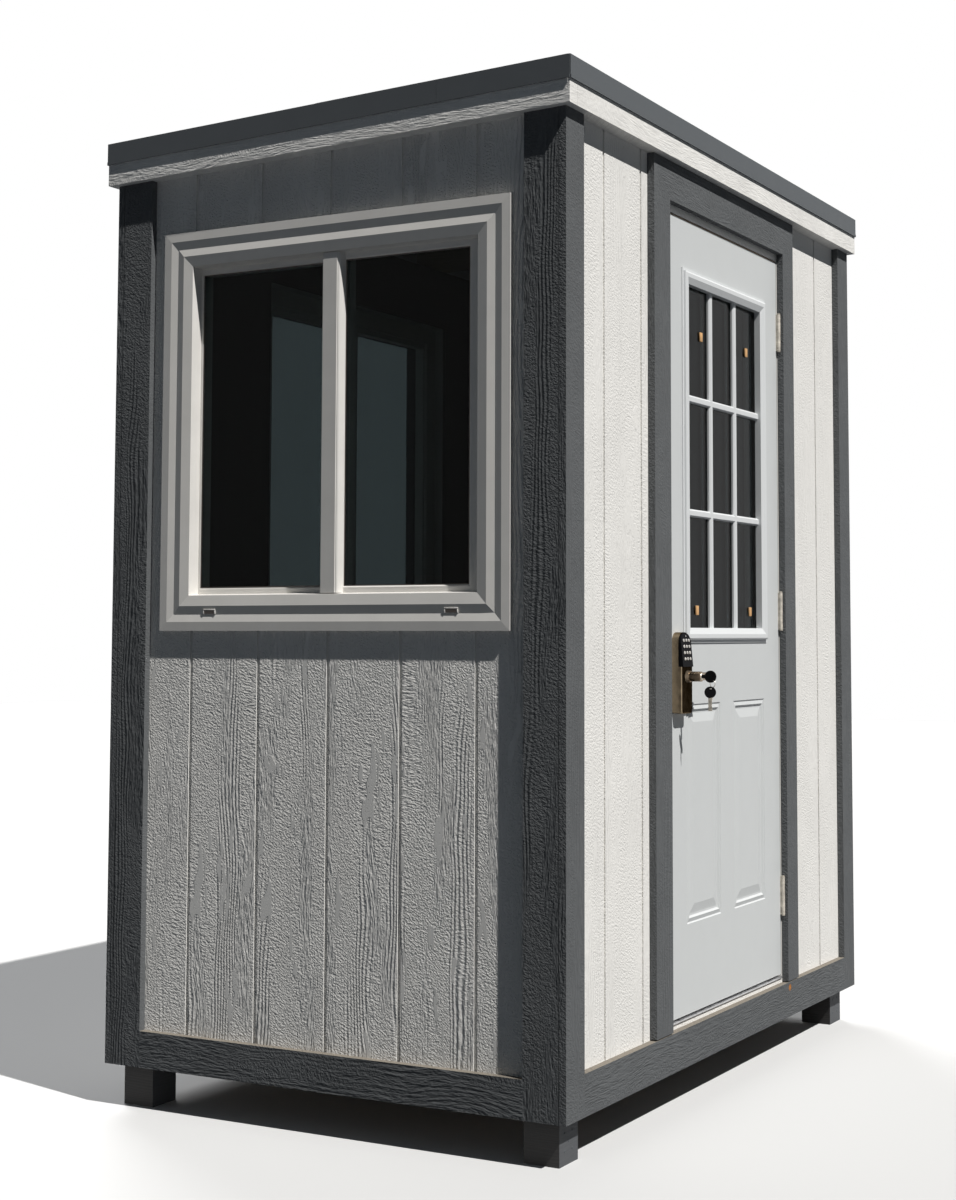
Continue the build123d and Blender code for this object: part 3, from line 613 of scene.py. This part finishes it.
def dress_hinges():
    """Pin tips and leaf screws."""
    leaf_y = 0.0015
    screws = ((-0.038, 0.022), (-0.013, 0.010), (0.013, 0.022), (0.038, 0.010))
    screw_r, screw_proud = 0.0035, 0.0006
    tip = [(0.0030, 0.051), (0.0052, 0.0525), (0.0054, 0.0540), (0.0036, 0.0556), (0, 0.0562)]
    for node, body, sign in (("hinge_frame_leaves", "booth", -1), ("hinge_door_leaves", "door", 1)):
        low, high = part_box(node)
        bm = bmesh.new()
        for mid_z in (low.z + HINGE_H / 2, (low.z + high.z) / 2, high.z - HINGE_H / 2):
            if body == "booth":
                for way in (-1, 1):
                    add_lathe(bm, tip, (DOOR_WALL_X + HINGE_OUT, HINGE_Y, mid_z), (0, 0, way), 16)
            for rise, inward in screws:
                centre = (DOOR_WALL_X - inward, HINGE_Y - sign * leaf_y, mid_z + rise)
                add_screw(bm, centre, (0, sign, 0), screw_r, screw_proud)
        add_piece(node + "_screws", bm, "hinge", body)


def add_drain_covers(bm):
    """Two hoods on the window's lower rail, each a cap on two legs."""
    cap_half, cap_y, cap_z = 0.0185, (-0.0129, -0.0088), (-0.4472, -0.4447)
    leg_half, leg_y, leg_z = 0.0015, (-0.0126, -0.0080), (-0.4567, -0.4474)
    for x in (-DRAIN_X, DRAIN_X):
        add_block(bm, (x - cap_half, cap_y[0], cap_z[0]), (x + cap_half, cap_y[1], cap_z[1]), 0.0006)
        for mid in (x - cap_half + leg_half, x + cap_half - leg_half):
            add_block(bm, (mid - leg_half, leg_y[0], leg_z[0]), (mid + leg_half, leg_y[1], leg_z[1]), 0.0005)


def add_drain_shade_blocks(bm):
    """A dark block in the opening under each hood: painted shade for the opening's dark inside."""
    half, slot_y, slot_z = 0.0153, (-0.0118, -0.0080), (-0.4562, -0.4474)
    for x in (-DRAIN_X, DRAIN_X):
        add_block(bm, (x - half, slot_y[0], slot_z[0]), (x + half, slot_y[1], slot_z[1]), 0.0005)


def add_glazing_seals(bm):
    """A thin border round each pane, against its front."""
    wide, deep, half_h = 0.0025, 0.0016, 0.39175
    outer_pane = (0.0310, 0.3765, 0.019)
    inner_pane = (-0.4025, -0.0300, 0.027)
    for x0, x1, y in (outer_pane, inner_pane):
        within = (x0 + wide, x1 - wide)
        for (left, right), (bottom, top) in (((x0, x0 + wide), (-half_h, half_h)),
                                             ((x1 - wide, x1), (-half_h, half_h)),
                                             (within, (-half_h, wide - half_h)),
                                             (within, (half_h - wide, half_h))):
            add_block(bm, (left, y - deep, bottom), (right, y, top))


def dress_windows():
    """Drain covers and seals of both windows, made with x along the wall, -y outwards and 0 mid-window."""
    front = Matrix.Translation((-MIDDLE_X, FRONT_WALL_Y, WINDOW_Z))
    left = Matrix.Translation((LEFT_WALL_X, 0, WINDOW_Z)) @ Matrix.Rotation(-math.pi / 2, 4, "Z")
    pieces = (("_window_drains", add_drain_covers, "vinyl", "window_vinyl", True),
              # Dark blocks of painted shade in the drain openings.
              ("_window_drain_shade", add_drain_shade_blocks, "rubber", "keypad_black", True),
              ("_window_seals", add_glazing_seals, "rubber", "keypad_black", False))
    for name, place in (("front", front), ("left", left)):
        for suffix, add, mat, slot, smooth in pieces:
            bm = bmesh.new()
            add(bm)
            bmesh.ops.transform(bm, matrix=place, verts=bm.verts)
            add_piece(name + suffix, bm, mat, "booth", smooth)


def dress_door():
    """Cork tabs on the door's pane, a sweep under it and seals round it."""
    glass_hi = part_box("door_glass")[1]
    slab_lo, slab_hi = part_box("door_slab")

    soft = 0.001

    tab_half_w, tab_half_h, tab_t, tab_gap = 0.008, 0.012, 0.004, 0.0004
    tabs = ((-0.129, 1.937), (0.182, 1.937), (-0.162, 1.224), (0.200, 1.224))
    bm = bmesh.new()
    for y, z in tabs:
        add_block(bm, (glass_hi.x + tab_gap, y - tab_half_w, z - tab_half_h),
                  (glass_hi.x + tab_gap + tab_t, y + tab_half_w, z + tab_half_h), soft)
    add_piece("lite_cork_tabs", bm, "tan", "door")

    sweep_back, sweep_front = slab_lo.x + 0.010, slab_hi.x - 0.012
    sweep_end, sweep_drop, sweep_sunk = 0.006, 0.0035, 0.0005
    bm = bmesh.new()
    add_block(bm, (sweep_back, slab_lo.y + sweep_end, slab_lo.z - sweep_drop),
              (sweep_front, slab_hi.y - sweep_end, slab_lo.z + sweep_sunk), soft)
    add_piece("door_sweep", bm, "rubber", "door")

    seal_w = 0.011
    seal_x = (slab_lo.x - 0.0055, slab_lo.x - 0.0012)
    left_y, right_y = slab_lo.y - 0.0045, slab_hi.y + 0.0025
    bottom, top = slab_lo.z + 0.002, slab_hi.z + 0.0045
    bm = bmesh.new()
    add_block(bm, (seal_x[0], left_y, bottom), (seal_x[1], left_y + seal_w, top), soft)
    add_block(bm, (seal_x[0], right_y - seal_w, bottom), (seal_x[1], right_y, top), soft)
    add_block(bm, (seal_x[0], slab_lo.y, top - seal_w), (seal_x[1], slab_hi.y, top), soft)
    add_piece("door_seal", bm, "rubber", "booth")

    foam_x = (slab_hi.x - 0.014, slab_hi.x - 0.002)
    foam_z = (slab_hi.z + 0.0012, slab_hi.z + 0.0042)
    bm = bmesh.new()
    add_block(bm, (foam_x[0], slab_lo.y, foam_z[0]), (foam_x[1], slab_hi.y, foam_z[1]), 0.0008)
    add_piece("door_head_seal", bm, "brown", "booth")


def dress_feet():
    """Five screw heads in the outer face of each foot under the door wall."""
    half_foot = 0.04445
    across, up = 0.018, 0.020
    screw_r, screw_proud = 0.0035, 0.0008
    low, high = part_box("post_feet")
    mid_z = (low.z + high.z) / 2
    bm = bmesh.new()
    for mid_y in (low.y + half_foot, high.y - half_foot):
        for y, z in ((-1, -1), (-1, 1), (0, 0), (1, -1), (1, 1)):
            add_screw(bm, (high.x, mid_y + across * y, mid_z + up * z), (1, 0, 0), screw_r, screw_proud)
    add_piece("foot_screws", bm, "drip", "booth")


def add_world():
    """A dim blue sky as fill, and white where the camera, gloss or glass sees it."""
    sky, sky_strength = (0.50, 0.74, 1.0, 1), 0.042
    world = bpy.data.worlds.new("world")
    bpy.context.scene.world = world
    g = Graph(world, "OutputWorld")
    fill = g.node("Background", {0: sky, 1: sky_strength}).outputs[0]
    white = g.node("Background", {0: (1, 1, 1, 1), 1: 1.0}).outputs[0]
    path = g.node("LightPath")
    seen = g.math("MAXIMUM", path.outputs["Is Camera Ray"], path.outputs["Is Glossy Ray"])
    seen = g.math("MAXIMUM", seen, path.outputs["Is Transmission Ray"])
    g.set(g.out.inputs[0], g.node("MixShader", {0: seen, 1: fill, 2: white}).outputs[0])


def add_sun(name, strength, degrees, colour, towards):
    """Adds a sun that looks degrees wide; towards points from the booth to it."""
    lamp = bpy.data.lights.new(name, "SUN")
    lamp.energy = strength
    lamp.angle = math.radians(degrees)
    lamp.color = colour
    obj = bpy.data.objects.new(name, lamp)
    bpy.context.scene.collection.objects.link(obj)
    obj.rotation_euler = Vector(towards).to_track_quat("Z", "Y").to_euler()


def add_floor():
    """A pale floor to the eye that throws little light back on the booth."""
    half = 20
    bounce = (0.022, 0.026, 0.032)
    pale = (0.60, 0.60, 0.60)
    bm = bmesh.new()
    bmesh.ops.create_grid(bm, x_segments=1, y_segments=1, size=half)
    mesh = bpy.data.meshes.new("floor")
    bm.to_mesh(mesh)
    bm.free()
    obj = bpy.data.objects.new("floor", mesh)
    bpy.context.scene.collection.objects.link(obj)
    g = new_material("floor")
    path = g.node("LightPath")
    seen = g.math("MAXIMUM", path.outputs["Is Camera Ray"], path.outputs["Is Glossy Ray"])
    mesh.materials.append(g.finish(g.mix(seen, bounce, pale), 0.9))


add_camera()
dress_nodes()
dress_keypad()
dress_key()
dress_hinges()
dress_windows()
dress_door()
dress_feet()
add_world()
add_sun("key", 4.9, 0.8, (1.0, 0.985, 0.96), (0.562, -0.142, 0.815))
add_sun("back", 2.0, 25.0, (1.0, 1.0, 1.0), (-0.62, 0.56, 0.55))
add_floor()
scene = bpy.context.scene
scene.view_settings.view_transform = "Standard"
